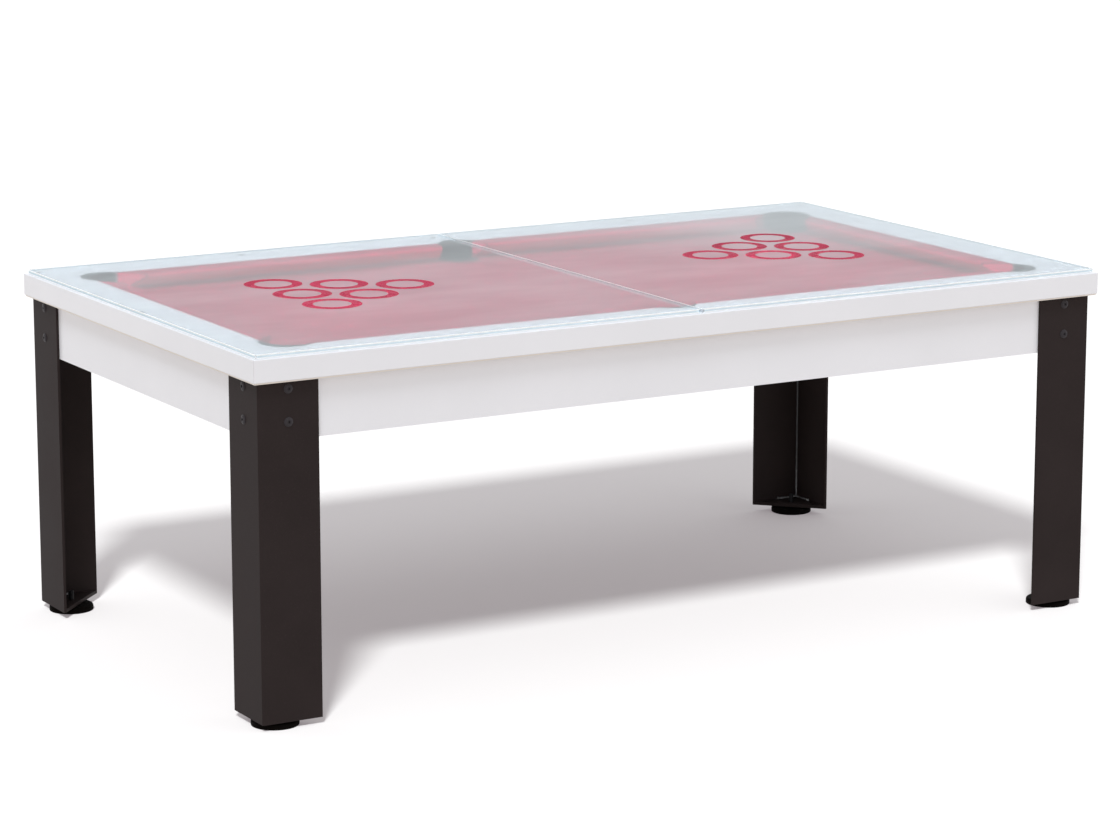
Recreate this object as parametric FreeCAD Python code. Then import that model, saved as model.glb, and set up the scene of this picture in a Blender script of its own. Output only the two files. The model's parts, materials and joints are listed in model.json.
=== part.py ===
import FreeCAD, Part
import math
import os

# Convertible pool table: two lift-off glass leaves over a cloth covered slate bed on angle steel legs.
# Millimetres. The origin is on the floor under the middle of the table, X runs along it and Z is up.
# Front is -Y, back is +Y, left is -X and right is +X.

# Plan of the table
table_length = 2100.0
table_width = 1200.0

# Levelling feet
pad_diameter = 100.0
pad_height = 13.0
pad_top_bevel = 4.0
pad_floor_bevel = 0.8
stud_diameter = 12.0
stud_seat_depth = 9.0
stud_projection = 20.0
stud_tip_bevel = 1.5
stud_clearance = 0.05
collar_across_flats = 19.0
collar_height = 3.0
foot_setback = 52.0

# Angle steel legs
leg_length = 706.0
leg_flange = 135.0
leg_plate = 6.0
leg_outer_radius = 4.0
leg_inner_radius = 2.0
leg_inset = 14.0
bend_relief = 0.5
foot_plate_thickness = 8.0
foot_plate_margin = 2.0

# Bolts, washers and nuts that hold the legs
bolt_diameter = 10.0
bolt_hole_clearance = 0.5
bolt_head_diameter = 20.0
bolt_head_height = 3.0
bolt_head_rim = 0.9
bolt_head_flat = 12.0
bolt_socket_flats = 6.0
bolt_socket_depth = 2.2
bolt_top_drop = 16.0
bolt_spacing = 68.0
bolt_end_beyond_nut = 2.0
nut_across_flats = 16.0
nut_height = 8.0
washer_diameter = 20.0
washer_thickness = 2.0
fastener_room = 4.0

# Apron and the timber inside it
apron_height = 122.0
apron_thickness = 22.0
ledger_width = 24.0
ledger_height = 40.0
beam_width = 40.0
beam_height = 60.0
corner_block_height = 90.0
corner_block_drop = 6.0

# Edge board and rails
edge_board_thickness = 3.0
edge_board_inset = 2.5
fascia_height = 48.0
rail_width = 100.0
rail_arris = 1.2
slate_gap = 2.0
slate_bolt_clearance = 1.0
mitre_gap = 0.2

# Bolts that hold the rails down on the slate
rail_bolt_diameter = 8.0
rail_bolt_head_flats = 13.0
rail_bolt_head_height = 5.5
rail_bolt_flange = 17.0
rail_bolt_flange_height = 1.5
rail_bolt_grip = 20.0
rail_bolt_hole_spare = 3.0
rail_bolt_first = 140.0
rail_bolt_pitch = 310.0
rail_bolts_each_half = 3
end_bolt_pitch = 240.0

# Bed
bed_depth = 38.0
cloth_thickness = 0.8
slate_thickness = 20.0

# Cushions
cushion_width = 50.0
cushion_lift = 5.0
cushion_sole = 18.0
cushion_top_drop = 1.0
nose_height = 32.0
nose_radius = 4.0
nose_under_angle = 60.0
corner_jaw = 84.0
corner_cut_angle = 45.0
side_jaw = 58.0
side_cut_angle = 14.0
facing_thickness = 3.0

# Pockets
corner_pocket_inset = 40.0
corner_liner_reach = 0.4
corner_cup_radius = 43.0
corner_lip_back = 25.0
side_pocket_inset = 18.0
side_liner_radius = 48.0
side_cup_radius = 42.0
side_lip_back = 16.0
lip_tip = 4.0
cup_wall = 3.5
cup_floor = 3.0
cup_depth = 118.0
cup_rim_drop = 3.0
cup_clearance = 0.5
liner_clearance = 0.3

# Glass leaves
glass_thickness = 8.0
glass_inset = 6.5
glass_arris = 0.8
glass_outer_radius = 8.0
glass_joint_radius = 3.0
leaf_gap = 3.0
bumper_diameter = 12.0
bumper_thickness = 1.0
bumper_setback = 18.0

# Margin by which cutting shapes overrun what they cut
overrun = 1.0

# Heights above the floor
leg_bottom = pad_height + collar_height
leg_top = leg_bottom + leg_length
apron_bottom = leg_top - apron_height
rail_bottom = leg_top + edge_board_thickness
rail_top = rail_bottom + fascia_height
bed_top = rail_top - bed_depth
slate_top = bed_top - cloth_thickness
slate_bottom = slate_top - slate_thickness
glass_bottom = rail_top + bumper_thickness
glass_top = glass_bottom + glass_thickness

# Distances from the middle of the table to the faces of its right end and of its back
end_x = table_length / 2.0
side_y = table_width / 2.0
leg_depth = leg_inset + leg_plate
apron_depth = leg_depth + apron_thickness
ledger_depth = apron_depth + ledger_width
leg_bolt_reach = apron_depth + washer_thickness + nut_height + bolt_end_beyond_nut
slate_margin = leg_bolt_reach + slate_bolt_clearance
step_margin = slate_margin - slate_gap
corner_margin = rail_width + corner_pocket_inset
side_margin = rail_width + side_pocket_inset
rail_bolt_margin = ledger_depth + rail_bolt_flange / 2.0 + fastener_room
leg_bolt_margin = leg_inset + leg_flange / 2.0
leg_bolt_heights = [leg_top - bolt_top_drop, leg_top - bolt_top_drop - bolt_spacing]

# Sizes that follow from a fit
corner_liner_radius = corner_pocket_inset * math.sqrt(2.0) + corner_liner_reach
bolt_hole_radius = bolt_diameter / 2.0 + bolt_hole_clearance
rail_bolt_radius = rail_bolt_diameter / 2.0
corner_hole_radius = corner_cup_radius + cup_wall + cup_clearance
side_hole_radius = side_cup_radius + cup_wall + cup_clearance
ledger_margin = leg_bolt_margin + washer_diameter / 2.0 + fastener_room
block_leg = leg_bolt_margin - apron_depth - washer_diameter / 2.0 - fastener_room

LEFT_RIGHT = {"left": -1, "right": 1}
FRONT_BACK = {"front": -1, "back": 1}
CENTRE = FreeCAD.Vector(0, 0, 0)
ALONG_X = FreeCAD.Vector(1, 0, 0)
ALONG_Y = FreeCAD.Vector(0, 1, 0)
ALONG_Z = FreeCAD.Vector(0, 0, 1)


def point(x, y, z=0.0):
    return FreeCAD.Vector(x, y, z)


def box(low, high):
    """Block between two opposite corners."""
    size = FreeCAD.Vector(*high) - FreeCAD.Vector(*low)
    return Part.makeBox(size.x, size.y, size.z, FreeCAD.Vector(*low))


def post(x, y, radius, low, high):
    """Upright round bar."""
    return Part.makeCylinder(radius, high - low, point(x, y, low))


def plate(outline, low, high):
    """Upright prism over a plan outline of (x, y) corners."""
    corners = [point(x, y, low) for x, y in outline]
    face = Part.Face(Part.makePolygon(corners + corners[:1]))
    return face.extrude(ALONG_Z * (high - low))


def bar(section, start, stop):
    """Prism along X over a section of (y, z) corners."""
    corners = [point(start, y, z) for y, z in section]
    face = Part.Face(Part.makePolygon(corners + corners[:1]))
    return face.extrude(ALONG_X * (stop - start))


def hexagon(across_flats, low, high):
    """Upright hexagonal bar about the Z axis."""
    reach = across_flats / math.sqrt(3.0)
    turns = [math.radians(60.0 * side) for side in range(6)]
    return plate([(reach * math.cos(turn), reach * math.sin(turn)) for turn in turns], low, high)


def turned(section):
    """Solid of revolution about Z from a closed section of (radius, z) corners."""
    corners = [point(radius, 0.0, z) for radius, z in section]
    face = Part.Face(Part.makePolygon(corners + corners[:1]))
    return face.revolve(CENTRE, ALONG_Z, 360.0)


def reflected(shape, sign_x, sign_y):
    """Copy, into the asked quarter, of a piece modelled at the right back corner."""
    copy = shape.copy()
    if sign_x < 0:
        copy = copy.mirror(CENTRE, ALONG_X)
    if sign_y < 0:
        copy = copy.mirror(CENTRE, ALONG_Y)
    return copy


def end_copy(shape):
    """Quarter turn that takes a piece from the back of the table to its right end."""
    copy = shape.copy()
    copy.rotate(CENTRE, ALONG_Z, -90.0)
    return copy


def moved(shape, x, y, z):
    copy = shape.copy()
    copy.translate(point(x, y, z))
    return copy


def four_corners(make, name):
    """The piece that make returns, at each corner, under name_front_left and so on."""
    piece = make()
    return {
        f"{name}_{row}_{side}": reflected(piece, sign_x, sign_y)
        for row, sign_y in FRONT_BACK.items()
        for side, sign_x in LEFT_RIGHT.items()
    }


def group_at_corners(solids):
    """Every solid of a right back corner, repeated at the four corners."""
    signs = [(sign_x, sign_y) for sign_x in LEFT_RIGHT.values() for sign_y in FRONT_BACK.values()]
    return Part.makeCompound([reflected(solid, *pair) for pair in signs for solid in solids])


# Levelling feet

def foot_axis():
    return end_x - leg_inset - foot_setback, side_y - leg_inset - foot_setback


def foot_pad():
    """Round pad with bevelled edges and a blind seat for the stud."""
    radius = pad_diameter / 2.0
    seat_radius = stud_diameter / 2.0 + stud_clearance
    seat_floor = pad_height - stud_seat_depth
    pad = turned([
        (0.0, 0.0),
        (radius - pad_floor_bevel, 0.0),
        (radius, pad_floor_bevel),
        (radius, pad_height - pad_top_bevel),
        (radius - pad_top_bevel, pad_height),
        (seat_radius, pad_height),
        (seat_radius, seat_floor),
        (0.0, seat_floor),
    ])
    return moved(pad, *foot_axis(), 0.0)


def foot_stud():
    """Threaded stud with a hexagonal collar that stops under the foot plate."""
    radius = stud_diameter / 2.0
    tip = leg_bottom + foot_plate_thickness + stud_projection
    shank = turned([
        (0.0, pad_height - stud_seat_depth),
        (radius, pad_height - stud_seat_depth),
        (radius, tip - stud_tip_bevel),
        (radius - stud_tip_bevel, tip),
        (0.0, tip),
    ])
    stud = shank.fuse(hexagon(collar_across_flats, pad_height, leg_bottom)).removeSplitter()
    return moved(stud, *foot_axis(), 0.0)


def foot_plate():
    """Triangular plate across the bottom of a leg, tapped for the stud."""
    face_x = end_x - leg_depth
    face_y = side_y - leg_depth
    relief = leg_inner_radius + bend_relief
    run = leg_flange - leg_plate - foot_plate_margin
    outline = [
        (face_x - relief, face_y),
        (face_x - run, face_y),
        (face_x, face_y - run),
        (face_x, face_y - relief),
    ]
    top = leg_bottom + foot_plate_thickness
    hole = post(*foot_axis(), stud_diameter / 2.0 + stud_clearance, leg_bottom - overrun, top + overrun)
    return plate(outline, leg_bottom, top).cut(hole)


# Legs and their fasteners

def leg_outline():
    """L section of bent plate, with its bend rounded inside and outside."""
    outer_x = end_x - leg_inset
    outer_y = side_y - leg_inset
    inner_x = outer_x - leg_plate
    inner_y = outer_y - leg_plate
    lean = math.sqrt(0.5)
    bend_x = inner_x - leg_inner_radius
    bend_y = inner_y - leg_inner_radius
    round_x = outer_x - leg_outer_radius
    round_y = outer_y - leg_outer_radius
    outer_mid = point(round_x + leg_outer_radius * lean, round_y + leg_outer_radius * lean)
    inner_mid = point(bend_x + leg_inner_radius * lean, bend_y + leg_inner_radius * lean)
    tip_x = outer_x - leg_flange
    tip_y = outer_y - leg_flange
    edges = [
        Part.LineSegment(point(tip_x, outer_y), point(round_x, outer_y)),
        Part.Arc(point(round_x, outer_y), outer_mid, point(outer_x, round_y)),
        Part.LineSegment(point(outer_x, round_y), point(outer_x, tip_y)),
        Part.LineSegment(point(outer_x, tip_y), point(inner_x, tip_y)),
        Part.LineSegment(point(inner_x, tip_y), point(inner_x, bend_y)),
        Part.Arc(point(inner_x, bend_y), inner_mid, point(bend_x, inner_y)),
        Part.LineSegment(point(bend_x, inner_y), point(tip_x, inner_y)),
        Part.LineSegment(point(tip_x, inner_y), point(tip_x, outer_y)),
    ]
    return Part.Face(Part.Wire([edge.toShape() for edge in edges]))


def leg():
    blank = leg_outline().extrude(ALONG_Z * leg_length)
    blank.translate(point(0.0, 0.0, leg_bottom))
    return blank.cut(leg_bolt_holes())


def facing_back(shape, depth, height):
    """Places a fastener drawn about Z on a back face that lies depth inside the table's side."""
    copy = shape.copy()
    copy.rotate(CENTRE, ALONG_X, -90.0)
    return moved(copy, end_x - leg_bolt_margin, side_y - depth, height)


def facing_right(shape, depth, height):
    """Places a fastener drawn about Z on a right face that lies depth inside the table's end."""
    copy = shape.copy()
    copy.rotate(CENTRE, ALONG_Y, 90.0)
    return moved(copy, end_x - depth, side_y - leg_bolt_margin, height)


def on_both_flanges(shape, depth):
    """The four copies of a fastener at one leg."""
    places = [(place, height) for place in (facing_back, facing_right) for height in leg_bolt_heights]
    return [place(shape, depth, height) for place, height in places]


def leg_bolt_holes():
    """Clearance holes through a leg and the apron behind it."""
    reach = leg_plate + apron_thickness
    drill = Part.makeCylinder(bolt_hole_radius, reach + 2.0 * overrun, point(0.0, 0.0, -reach - overrun))
    return Part.makeCompound(on_both_flanges(drill, leg_inset))


def leg_bolt():
    """Low round head with a hexagonal socket, and its shank."""
    head = bolt_head_diameter / 2.0
    shank = bolt_diameter / 2.0
    stack = leg_plate + apron_thickness + washer_thickness + nut_height
    blank = turned([
        (0.0, -stack - bolt_end_beyond_nut),
        (shank, -stack - bolt_end_beyond_nut),
        (shank, 0.0),
        (head, 0.0),
        (head, bolt_head_rim),
        (bolt_head_flat / 2.0, bolt_head_height),
        (0.0, bolt_head_height),
    ])
    floor = bolt_head_height - bolt_socket_depth
    return blank.cut(hexagon(bolt_socket_flats, floor, bolt_head_height + overrun))


def leg_washer():
    disc = post(0.0, 0.0, washer_diameter / 2.0, -washer_thickness, 0.0)
    return disc.cut(post(0.0, 0.0, bolt_hole_radius, -washer_thickness, 0.0))


def leg_nut():
    blank = hexagon(nut_across_flats, -nut_height, 0.0)
    hole = post(0.0, 0.0, bolt_diameter / 2.0, -nut_height - overrun, overrun)
    return blank.cut(hole)


# Apron and the timber inside it

def long_apron():
    """Back apron board, the full length, with its outer corners eased inside the bend of the legs."""
    half = end_x - leg_depth
    outer = side_y - leg_depth
    inner = side_y - apron_depth
    ease = leg_inner_radius + bend_relief
    outline = [
        (-half, inner),
        (half, inner),
        (half, outer - ease),
        (half - ease, outer),
        (-half + ease, outer),
        (-half, outer - ease),
    ]
    holes = leg_bolt_holes()
    board = plate(outline, apron_bottom, leg_top)
    return board.cut(holes).cut(reflected(holes, -1, 1))


def end_apron():
    """Right apron board, between the two long ones."""
    half = side_y - apron_depth
    board = box((end_x - apron_depth, -half, apron_bottom), (end_x - leg_depth, half, leg_top))
    holes = leg_bolt_holes()
    return board.cut(holes).cut(reflected(holes, 1, -1))


def long_ledger():
    """Back ledger, which makes way for the cup of the side pocket where that reaches it."""
    half = end_x - ledger_margin
    bottom = slate_bottom - ledger_height
    ledger = box((-half, side_y - ledger_depth, bottom), (half, side_y - apron_depth, slate_bottom))
    cup = post(0.0, side_y - side_margin, side_hole_radius, bottom - overrun, slate_bottom + overrun)
    return ledger.cut(cup)


def end_ledger():
    half = side_y - ledger_margin
    low = (end_x - ledger_depth, -half, slate_bottom - ledger_height)
    return box(low, (end_x - apron_depth, half, slate_bottom))


def cross_beam(x):
    """Beam under the slate, between the two long ledgers."""
    half = side_y - ledger_depth
    low = (x - beam_width / 2.0, -half, slate_bottom - beam_height)
    return box(low, (x + beam_width / 2.0, half, slate_bottom))


def corner_block():
    """Three-sided glue block inside a corner of the apron."""
    face_x = end_x - apron_depth
    face_y = side_y - apron_depth
    outline = [(face_x, face_y), (face_x - block_leg, face_y), (face_x, face_y - block_leg)]
    top = slate_bottom - corner_block_drop
    return plate(outline, top - corner_block_height, top)


# Edge board and rails

def mitred(half_run, half_reach, depth):
    """Plan outline of a back piece whose ends are mitred towards the corners."""
    inner = half_reach - depth
    outer_run = half_run - mitre_gap
    inner_run = outer_run - depth
    return [(-outer_run, half_reach), (outer_run, half_reach), (inner_run, inner), (-inner_run, inner)]


def edge_board(half_run, half_reach):
    """Strip under a rail, set in from its face."""
    depth = step_margin - edge_board_inset
    outline = mitred(half_run - edge_board_inset, half_reach - edge_board_inset, depth)
    return plate(outline, leg_top, rail_bottom)


def rail(half_run, half_reach, bolt_places, has_side_pocket):
    """Rail that stands on the edge board outside and on the slate inside, cut out for the pockets."""
    outer = half_reach
    inner = half_reach - rail_width
    step = half_reach - step_margin
    section = [
        (outer, rail_bottom + rail_arris),
        (outer, rail_top - rail_arris),
        (outer - rail_arris, rail_top),
        (inner, rail_top),
        (inner, bed_top),
        (step, bed_top),
        (step, rail_bottom),
        (outer - rail_arris, rail_bottom),
    ]
    blank = bar(section, -half_run, half_run)
    blank = blank.common(plate(mitred(half_run, half_reach, rail_width), rail_bottom, rail_top))
    low = min(bed_top, rail_bottom) - overrun
    high = rail_top + overrun
    pocket_x = half_run - corner_margin
    pocket_y = half_reach - corner_margin
    corner_cut = corner_liner_radius + liner_clearance
    side_cut = side_liner_radius + liner_clearance
    cuts = [post(side * pocket_x, pocket_y, corner_cut, low, high) for side in (-1, 1)]
    if has_side_pocket:
        cuts.append(post(0.0, half_reach - side_margin, side_cut, low, high))
    bolt_y = half_reach - rail_bolt_margin
    hole_top = bed_top + rail_bolt_grip + rail_bolt_hole_spare
    cuts += [post(x, bolt_y, rail_bolt_radius, low, hole_top) for x in bolt_places]
    return blank.cut(Part.makeCompound(cuts))


def long_bolt_places():
    """Distances along a long rail, from its middle, of the bolts that hold it."""
    right = [rail_bolt_first + step * rail_bolt_pitch for step in range(rail_bolts_each_half)]
    return [-x for x in right] + right


def end_bolt_places():
    return [-end_bolt_pitch, 0.0, end_bolt_pitch]


def rail_bolt_plan():
    """Plan places of all the rail bolts."""
    long_y = side_y - rail_bolt_margin
    end_bolt_x = end_x - rail_bolt_margin
    long_places = [(x, sign * long_y) for sign in (-1, 1) for x in long_bolt_places()]
    return long_places + [(sign * end_bolt_x, y) for sign in (-1, 1) for y in end_bolt_places()]


def rail_bolt():
    """Flanged hexagon bolt that points up, with its seat at the underside of the slate."""
    seat = slate_bottom
    flange = post(0.0, 0.0, rail_bolt_flange / 2.0, seat - rail_bolt_flange_height, seat)
    head = hexagon(rail_bolt_head_flats, seat - rail_bolt_head_height, seat - rail_bolt_flange_height)
    shank = post(0.0, 0.0, rail_bolt_radius, seat, bed_top + rail_bolt_grip)
    return flange.fuse([head, shank]).removeSplitter()


# Bed

def bed_layer(low, high):
    """Flat layer with the six pocket holes and the holes for the rail bolts."""
    half_x = end_x - slate_margin
    half_y = side_y - slate_margin
    layer = box((-half_x, -half_y, low), (half_x, half_y, high))
    below = low - overrun
    above = high + overrun
    pocket_x = end_x - corner_margin
    pocket_y = side_y - corner_margin
    corners = [(x, y) for x in (-pocket_x, pocket_x) for y in (-pocket_y, pocket_y)]
    sides = [(0.0, sign * (side_y - side_margin)) for sign in (-1, 1)]
    holes = [post(x, y, corner_hole_radius, below, above) for x, y in corners]
    holes += [post(x, y, side_hole_radius, below, above) for x, y in sides]
    drill = rail_bolt_radius + bolt_hole_clearance
    holes += [post(x, y, drill, below, above) for x, y in rail_bolt_plan()]
    return layer.cut(Part.makeCompound(holes))


# Cushions

def cushion_bar(half_reach, start, stop):
    """Length of cushion along the back rail: flat back and top, round nose, undercut front."""
    face = half_reach - rail_width
    nose = face - cushion_width
    centre_y = nose + nose_radius
    centre_z = bed_top + nose_height
    under = math.radians(nose_under_angle)
    low = bed_top + cushion_lift
    back_low = point(start, face, low)
    back_high = point(start, face, rail_top - cushion_top_drop)
    crown = point(start, centre_y, centre_z + nose_radius)
    tip = point(start, nose, centre_z)
    below = point(start, centre_y - nose_radius * math.cos(under), centre_z - nose_radius * math.sin(under))
    heel = point(start, face - cushion_sole, low)
    edges = [
        Part.LineSegment(back_low, back_high),
        Part.LineSegment(back_high, crown),
        Part.Arc(crown, tip, below),
        Part.LineSegment(below, heel),
        Part.LineSegment(heel, back_low),
    ]
    section = Part.Face(Part.Wire([edge.toShape() for edge in edges]))
    return section.extrude(ALONG_X * (stop - start))


def cut_line(nose_x, angle, towards):
    """Plan line of a cushion end: its x at the rail side and at the nose side, a little overrun."""
    slope = math.tan(math.radians(angle)) * towards
    rail_side = nose_x + slope * (cushion_width + overrun)
    nose_side = nose_x - slope * overrun
    return rail_side, nose_side


def between_lines(half_reach, first, last):
    """Upright block between two cut lines over the width of a cushion."""
    outer = half_reach - rail_width + overrun
    inner = half_reach - rail_width - cushion_width - overrun
    outline = [(first[0], outer), (last[0], outer), (last[1], inner), (first[1], inner)]
    return plate(outline, bed_top, rail_top)


def shifted(line, distance):
    return line[0] + distance, line[1] + distance


def cushion_and_facings(half_reach, start_nose, start_angle, stop_nose, stop_angle):
    """A cushion with a rubber facing on each end, all cut from one length."""
    first = cut_line(start_nose, start_angle, -1)
    last = cut_line(stop_nose, stop_angle, 1)
    first_inner = shifted(first, facing_thickness / math.cos(math.radians(start_angle)))
    last_inner = shifted(last, -facing_thickness / math.cos(math.radians(stop_angle)))
    length = cushion_bar(half_reach, min(first), max(last))
    body = length.common(between_lines(half_reach, first_inner, last_inner))
    first_facing = length.common(between_lines(half_reach, first, first_inner))
    last_facing = length.common(between_lines(half_reach, last_inner, last))
    return body, [first_facing, last_facing]


def long_cushion():
    """Cushion of the back rail, right of its side pocket."""
    corner_nose = end_x - rail_width - cushion_width - corner_jaw
    return cushion_and_facings(side_y, side_jaw, side_cut_angle, corner_nose, corner_cut_angle)


def end_cushion():
    """Cushion of the right end, drawn along the back and then turned."""
    corner_nose = side_y - rail_width - cushion_width - corner_jaw
    cut = corner_cut_angle
    body, facings = cushion_and_facings(end_x, -corner_nose, cut, corner_nose, cut)
    return end_copy(body), [end_copy(facing) for facing in facings]


# Pockets

def pocket(x, y, mouth, liner_radius, cup_radius, lip_back, chord):
    """Liner and cup in one moulding, drawn with its mouth towards local -Y, then turned to the mouth angle.

    The liner is a crescent between its outer circle and a larger inner circle that leaves lip_back at the
    back and lip_tip at the tips. It ends on the chord line, and the cup hangs below it through the slate.
    """
    top = rail_top - liner_clearance
    rim = slate_top - cup_rim_drop
    bottom = bed_top - cup_depth
    cup_outer = cup_radius + cup_wall
    half_chord = math.sqrt(liner_radius ** 2 - chord ** 2) - lip_tip
    back = liner_radius - lip_back
    sagitta = back - chord
    inner_radius = (half_chord ** 2 + sagitta ** 2) / (2.0 * sagitta)
    inner_centre = back - inner_radius
    reach = liner_radius + overrun
    behind = box((-reach, chord, bottom), (reach, reach, top + overrun))
    crescent = post(0.0, 0.0, liner_radius, bed_top, top).common(behind)
    crescent = crescent.cut(post(0.0, inner_centre, inner_radius, bed_top - overrun, top + overrun))
    neck = post(0.0, 0.0, cup_outer, rim, bed_top).common(behind)
    cup = post(0.0, 0.0, cup_outer, bottom, rim)
    hollow = post(0.0, 0.0, cup_radius, bottom + cup_floor, bed_top)
    moulding = cup.fuse(neck).cut(hollow).fuse(crescent).removeSplitter()
    moulding.rotate(CENTRE, ALONG_Z, mouth)
    return moved(moulding, x, y, 0.0)


def corner_pocket():
    """Pocket of the right back corner, whose mouth looks diagonally at the middle of the table."""
    x = end_x - corner_margin
    y = side_y - corner_margin
    return pocket(x, y, -45.0, corner_liner_radius, corner_cup_radius, corner_lip_back, 0.0)


def side_pocket():
    """Pocket in the middle of the back rail."""
    y = side_y - side_margin
    return pocket(0.0, y, 0.0, side_liner_radius, side_cup_radius, side_lip_back, side_pocket_inset)


# Glass leaves

def upright_edges(solid, x):
    """Vertical edges of a solid that stand at the given x."""
    upright = [edge for edge in solid.Edges if abs(edge.tangentAt(edge.FirstParameter).z) > 0.5]
    return [edge for edge in upright if abs(edge.CenterOfMass.x - x) < glass_arris]


def glass_leaf():
    """Right leaf with rounded corners and a small arris round both faces."""
    near = leaf_gap / 2.0
    far = end_x - glass_inset
    half = side_y - glass_inset
    sheet = box((near, -half, glass_bottom), (far, half, glass_top))
    sheet = sheet.makeFillet(glass_outer_radius, upright_edges(sheet, far))
    sheet = sheet.makeFillet(glass_joint_radius, upright_edges(sheet, near))
    flat_faces = [face for face in sheet.Faces if abs(face.normalAt(0, 0).z) > 0.5]
    return sheet.makeChamfer(glass_arris, [edge for face in flat_faces for edge in face.Edges])


def leaf_bumpers():
    """Clear discs under the right leaf, over the rails."""
    near = leaf_gap / 2.0 + bumper_setback
    far = end_x - glass_inset - bumper_setback
    half = side_y - glass_inset - bumper_setback
    middle = (near + far) / 2.0
    places = [(x, sign * half) for x in (near, middle, far) for sign in (-1, 1)] + [(far, 0.0)]
    radius = bumper_diameter / 2.0
    return Part.makeCompound([post(x, y, radius, rail_top, glass_bottom) for x, y in places])


# Assembly

def feet_and_legs():
    nodes = {}
    nodes.update(four_corners(foot_pad, "foot_pad"))
    nodes.update(four_corners(foot_stud, "foot_stud"))
    nodes.update(four_corners(foot_plate, "foot_plate"))
    nodes.update(four_corners(leg, "leg"))
    washer_depth = apron_depth
    nut_depth = apron_depth + washer_thickness
    nodes["leg_bolts"] = group_at_corners(on_both_flanges(leg_bolt(), leg_inset))
    nodes["leg_washers"] = group_at_corners(on_both_flanges(leg_washer(), washer_depth))
    nodes["leg_nuts"] = group_at_corners(on_both_flanges(leg_nut(), nut_depth))
    return nodes


def timber():
    nodes = {"corner_blocks": group_at_corners([corner_block()])}
    for row, sign in FRONT_BACK.items():
        nodes[f"apron_{row}"] = reflected(long_apron(), 1, sign)
        nodes[f"ledger_{row}"] = reflected(long_ledger(), 1, sign)
    for side, sign in LEFT_RIGHT.items():
        nodes[f"apron_{side}"] = reflected(end_apron(), sign, 1)
        nodes[f"ledger_{side}"] = reflected(end_ledger(), sign, 1)
        for step, place in enumerate(("inner", "outer")):
            midway = rail_bolt_first + (step + 0.5) * rail_bolt_pitch
            nodes[f"cross_beam_{side}_{place}"] = cross_beam(sign * midway)
    return nodes


def rails():
    nodes = {}
    for row, sign in FRONT_BACK.items():
        nodes[f"edge_board_{row}"] = reflected(edge_board(end_x, side_y), 1, sign)
        nodes[f"rail_{row}"] = reflected(rail(end_x, side_y, long_bolt_places(), True), 1, sign)
    for side, sign in LEFT_RIGHT.items():
        nodes[f"edge_board_{side}"] = reflected(end_copy(edge_board(side_y, end_x)), sign, 1)
        nodes[f"rail_{side}"] = reflected(end_copy(rail(side_y, end_x, end_bolt_places(), False)), sign, 1)
    bolt = rail_bolt()
    nodes["rail_bolts"] = Part.makeCompound([moved(bolt, x, y, 0.0) for x, y in rail_bolt_plan()])
    return nodes


def bed_and_cushions():
    nodes = {
        "slate_bed": bed_layer(slate_bottom, slate_top),
        "bed_cloth": bed_layer(slate_top, bed_top),
    }
    all_facings = []
    body, facings = long_cushion()
    for row, sign_y in FRONT_BACK.items():
        for side, sign_x in LEFT_RIGHT.items():
            nodes[f"cushion_{row}_{side}"] = reflected(body, sign_x, sign_y)
            all_facings += [reflected(facing, sign_x, sign_y) for facing in facings]
    body, facings = end_cushion()
    for side, sign_x in LEFT_RIGHT.items():
        nodes[f"cushion_{side}"] = reflected(body, sign_x, 1)
        all_facings += [reflected(facing, sign_x, 1) for facing in facings]
    nodes["pocket_facings"] = Part.makeCompound(all_facings)
    return nodes


def pockets():
    nodes = four_corners(corner_pocket, "pocket")
    for row, sign in FRONT_BACK.items():
        nodes[f"pocket_{row}_middle"] = reflected(side_pocket(), 1, sign)
    return nodes


def leaves():
    nodes = {}
    for side, sign in LEFT_RIGHT.items():
        nodes[f"glass_leaf_{side}"] = reflected(glass_leaf(), sign, 1)
        nodes[f"leaf_bumpers_{side}"] = reflected(leaf_bumpers(), sign, 1)
    return nodes


def main():
    os.makedirs("parts", exist_ok=True)
    for make in (feet_and_legs, timber, rails, bed_and_cushions, pockets, leaves):
        for name, shape in make().items():
            shape.exportStep(f"parts/{name}.step")


main()
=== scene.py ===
"""Looks of a convertible pool table: finishes, soft goods and a studio stage round its packed frame."""

import json
import math

import bpy
import numpy as np
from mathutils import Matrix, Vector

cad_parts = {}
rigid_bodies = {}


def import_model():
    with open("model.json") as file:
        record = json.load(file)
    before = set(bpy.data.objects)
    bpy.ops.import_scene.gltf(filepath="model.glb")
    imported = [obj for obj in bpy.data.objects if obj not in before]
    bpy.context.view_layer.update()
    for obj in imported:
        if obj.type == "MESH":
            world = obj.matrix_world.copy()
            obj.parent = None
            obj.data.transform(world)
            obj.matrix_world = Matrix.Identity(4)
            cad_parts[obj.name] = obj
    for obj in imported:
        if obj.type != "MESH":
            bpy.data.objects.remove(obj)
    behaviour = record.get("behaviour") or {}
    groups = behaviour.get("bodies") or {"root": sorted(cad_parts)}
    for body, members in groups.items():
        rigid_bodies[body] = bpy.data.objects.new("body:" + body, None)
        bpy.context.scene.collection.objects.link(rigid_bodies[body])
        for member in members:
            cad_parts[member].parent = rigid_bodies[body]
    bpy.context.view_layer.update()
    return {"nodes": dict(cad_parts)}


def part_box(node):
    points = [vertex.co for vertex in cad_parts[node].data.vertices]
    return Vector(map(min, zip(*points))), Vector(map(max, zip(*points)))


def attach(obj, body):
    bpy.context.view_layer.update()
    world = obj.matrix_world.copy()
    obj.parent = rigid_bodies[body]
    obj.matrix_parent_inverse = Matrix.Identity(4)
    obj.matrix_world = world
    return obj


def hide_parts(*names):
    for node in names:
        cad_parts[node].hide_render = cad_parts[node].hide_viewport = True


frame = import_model()

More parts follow.
